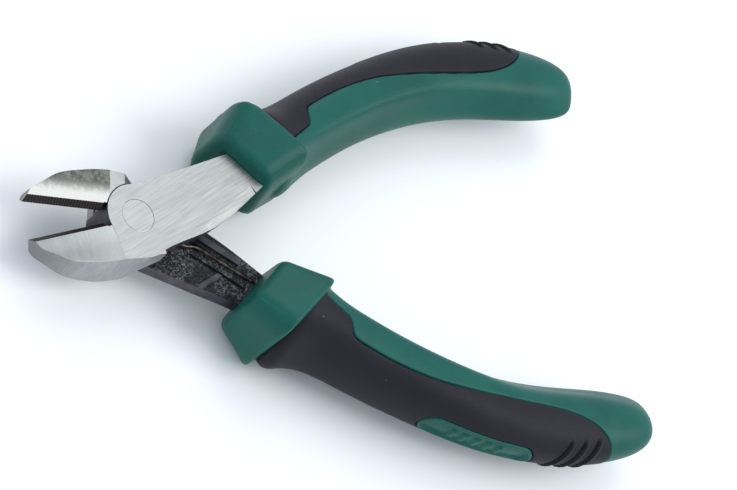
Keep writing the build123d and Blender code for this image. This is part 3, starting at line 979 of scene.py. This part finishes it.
class PLIERS_OT_forged_halves(bpy.types.Operator):
    """Finish the two forged halves: ground faces, jaw facets, flanks, edges and forging scale"""

    bl_idname = "pliers.forged_halves"
    bl_label = "Forged Halves"

    def execute(self, context):
        settings = context.scene.pliers.steel
        ground = tuple(settings.ground_colour)
        flank = flank_steel(tuple(settings.flank_colour))
        oxide = black_oxide(tuple(settings.oxide_colour))
        scale = forged_scale()
        # how much painted shade each half's jaw facet gets: little on the upper, nearly full on the
        # lower
        for half, dark in (("upper", 0.25), ("lower", 0.95)):
            turn = BRUSH_ANGLE if half == "upper" else -BRUSH_ANGLE
            finishes = {
                "ground": ground_steel(f"{half}_ground_steel", ground, turn),
                "facet": jaw_facet_steel(f"{half}_facet_steel", ground, dark, half),
                "flank": flank,
                "edge": edge_black(half),
                "scale": scale,
                "oxide": oxide,
            }
            forging(half, settings, finishes)
        return {"FINISHED"}


class PLIERS_OT_pivot_rivet(bpy.types.Operator):
    """Model the pivot rivet, ground flush with both faces of the head"""

    bl_idname = "pliers.pivot_rivet"
    bl_label = "Pivot Rivet"

    def execute(self, context):
        deselect_all()
        bpy.ops.mesh.primitive_cylinder_add(
            vertices=96, radius=RIVET_RADIUS, depth=HALF_THICKNESS * 2, location=(0, 0, HALF_THICKNESS))
        piece = context.object
        piece.name = piece.data.name = "rivet"
        bpy.ops.object.mode_set(mode="EDIT")
        bpy.ops.mesh.select_mode(type="FACE")
        shape = bmesh.from_edit_mesh(piece.data)
        for face in shape.faces:
            face.select = abs(face.normal.z) > 0.9
        bmesh.update_edit_mesh(piece.data)
        bpy.ops.mesh.inset(thickness=RIVET_RADIUS * 0.04)
        bpy.ops.mesh.inset(thickness=RIVET_RADIUS * 0.3)
        bpy.ops.mesh.select_mode(type="EDGE")
        shape = bmesh.from_edit_mesh(piece.data)
        for edge in shape.edges:
            reach = [corner.co.xy.length for corner in edge.verts]
            level = abs(edge.verts[0].co.z - edge.verts[1].co.z)
            edge.select = min(reach) > RIVET_RADIUS * 0.99 and level < RIVET_RADIUS * 0.01
        bmesh.update_edit_mesh(piece.data)
        bpy.ops.mesh.bevel(offset=0.00008, segments=2, affect="EDGES")
        deselect_all()
        pick(piece)
        bpy.ops.object.transform_apply(location=True, rotation=True, scale=True)
        bpy.ops.object.shade_smooth_by_angle(angle=RIVET_SMOOTH_ANGLE)
        piece.data.materials.append(rivet_steel(tuple(context.scene.pliers.steel.ground_colour)))
        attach(piece, "lower_half")
        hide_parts("pivot_rivet")
        return {"FINISHED"}


def spring_path(settings):
    """Middle line of the wire: the lower leg, the coil and the upper leg."""
    legs = {}
    for side in (-1, 1):
        turn = Matrix.Rotation(side * REST_HALF_ANGLE, 3, "Z")
        legs[side] = [turn @ Vector((x, side * y, side * z)) * MM for x, y, z in SPRING_LEG]
    coil = []
    for step in range(settings.coil_points + 1):
        share = step / settings.coil_points
        angle = math.radians(-90 - 360 * COIL_TURNS * share)
        coil.append(Vector((settings.coil_place + settings.coil_radius * math.cos(angle),
                            settings.coil_radius * math.sin(angle),
                            settings.coil_rise * (share - 0.5))))
    return legs[-1] + coil + legs[1][::-1]


class PLIERS_OT_return_spring(bpy.types.Operator):
    """Model the wire return spring between the handles"""

    bl_idname = "pliers.return_spring"
    bl_label = "Return Spring"

    def execute(self, context):
        settings = context.scene.pliers.spring
        deselect_all()
        path = spring_path(settings)
        wire = bpy.data.curves.new("spring_wire", "CURVE")
        wire.dimensions = "3D"
        wire.bevel_depth = settings.wire_radius
        wire.bevel_resolution = 5
        wire.resolution_u = 6
        wire.use_fill_caps = True
        spline = wire.splines.new("NURBS")
        spline.points.add(len(path) - 1)
        for point, place in zip(spline.points, path):
            point.co = (place.x, place.y, place.z + HALF_THICKNESS, 1.0)
        spline.order_u = 3
        spline.use_endpoint_u = True
        piece = bpy.data.objects.new("spring_wire", wire)
        context.scene.collection.objects.link(piece)
        pick(piece)
        bpy.ops.object.convert(target="MESH")
        piece = context.object
        piece.data.materials.append(spring_wire_steel())
        bpy.ops.object.shade_smooth()
        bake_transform(piece)
        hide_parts("return_spring")
        return {"FINISHED"}


# --- stage ---

def camera_axes(azimuth, elevation, roll):
    """Right, up and backward axes of the camera."""
    back = Vector((math.sin(azimuth) * math.cos(elevation), -math.cos(azimuth) * math.cos(elevation),
                   math.sin(elevation)))
    level = Vector((math.cos(azimuth), math.sin(azimuth), 0.0))
    upright = back.cross(level)
    right = level * math.cos(roll) + upright * math.sin(roll)
    up = upright * math.cos(roll) - level * math.sin(roll)
    return right, up, back


def softbox(name, place, target, size, power, colour):
    light = bpy.data.lights.new(name, "AREA")
    light.shape = "SQUARE"
    light.size = size
    light.energy = power
    light.color = colour
    lamp = bpy.data.objects.new(name, light)
    bpy.context.scene.collection.objects.link(lamp)
    lamp.location = place
    lamp.rotation_euler = (Vector(target) - Vector(place)).to_track_quat("-Z", "Y").to_euler()


class PLIERS_OT_stage(bpy.types.Operator):
    """Set the floor, the soft lights and the camera"""

    bl_idname = "pliers.stage"
    bl_label = "Stage"

    def execute(self, context):
        settings = context.scene.pliers.stage
        deselect_all()
        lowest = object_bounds()[0][2]
        bpy.ops.mesh.primitive_plane_add(size=settings.floor_size, location=(0, 0, lowest))
        floor = context.object
        floor.name = floor.data.name = "floor"
        floor.data.materials.append(floor_paper(tuple(settings.floor_colour)))
        floor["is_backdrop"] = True

        world = bpy.data.worlds.new("studio")
        context.scene.world = world
        world.use_nodes = True
        sky = world.node_tree.nodes["Background"]
        sky.inputs["Color"].default_value = (0.82, 0.89, 1.0, 1.0)
        sky.inputs["Strength"].default_value = settings.sky_strength

        right, up, back = camera_axes(settings.camera_azimuth, settings.camera_elevation,
                                      settings.camera_roll)
        target = Vector(settings.camera_target)
        for name, azimuth, elevation, share in SOFTBOXES:
            place = heading(azimuth) * math.cos(math.radians(elevation))
            place.z = math.sin(math.radians(elevation))
            softbox(name, target + place * settings.softbox_distance, target,
                    settings.softbox_size, settings.softbox_power * share, (1.0, 0.99, 0.97))

        lens = bpy.data.cameras.new("camera")
        lens.sensor_width = 36.0
        lens.lens = settings.focal_length
        lens.clip_start = 0.01
        lens.clip_end = 20.0
        camera = bpy.data.objects.new("camera", lens)
        context.scene.collection.objects.link(camera)
        turn = Matrix((right, up, back)).transposed().to_4x4()
        turn.translation = target + back * settings.camera_distance
        camera.matrix_world = turn
        context.scene.camera = camera
        context.scene.view_settings.view_transform = "Standard"
        return {"FINISHED"}


class VIEW3D_PT_pliers(bpy.types.Panel):
    """The pliers' pieces and their settings"""

    bl_label = "Diagonal Cutting Pliers"
    bl_idname = "VIEW3D_PT_pliers"
    bl_space_type = "VIEW_3D"
    bl_region_type = "UI"
    bl_category = "Pliers"

    def draw(self, context):
        settings = context.scene.pliers
        for operator, group in OPERATORS:
            box = self.layout.box()
            box.operator(operator.bl_idname)
            for name in getattr(settings, group).bl_rna.properties.keys():
                if name not in ("rna_type", "name"):
                    box.prop(getattr(settings, group), name)


OPERATORS = [
    (PLIERS_OT_forged_halves, "steel"),
    (PLIERS_OT_pivot_rivet, "steel"),
    (PLIERS_OT_return_spring, "spring"),
    (PLIERS_OT_grip_cores, "grips"),
    (PLIERS_OT_grip_skins, "grips"),
    (PLIERS_OT_stage, "stage"),
]
GROUPS = [GripSettings, SteelSettings, SpringSettings, StageSettings, PliersSettings]
CLASSES = GROUPS + [operator for operator, _ in OPERATORS] + [VIEW3D_PT_pliers]


def register():
    for item in CLASSES:
        bpy.utils.register_class(item)
    bpy.types.Scene.pliers = PointerProperty(type=PliersSettings)


def unregister():
    del bpy.types.Scene.pliers
    for item in reversed(CLASSES):
        bpy.utils.unregister_class(item)


def main():
    register()
    bpy.ops.pliers.forged_halves()
    bpy.ops.pliers.pivot_rivet()
    bpy.ops.pliers.return_spring()
    bpy.ops.pliers.grip_cores()
    bpy.ops.pliers.grip_skins()
    bpy.ops.pliers.stage()


if __name__ == "__main__":
    main()
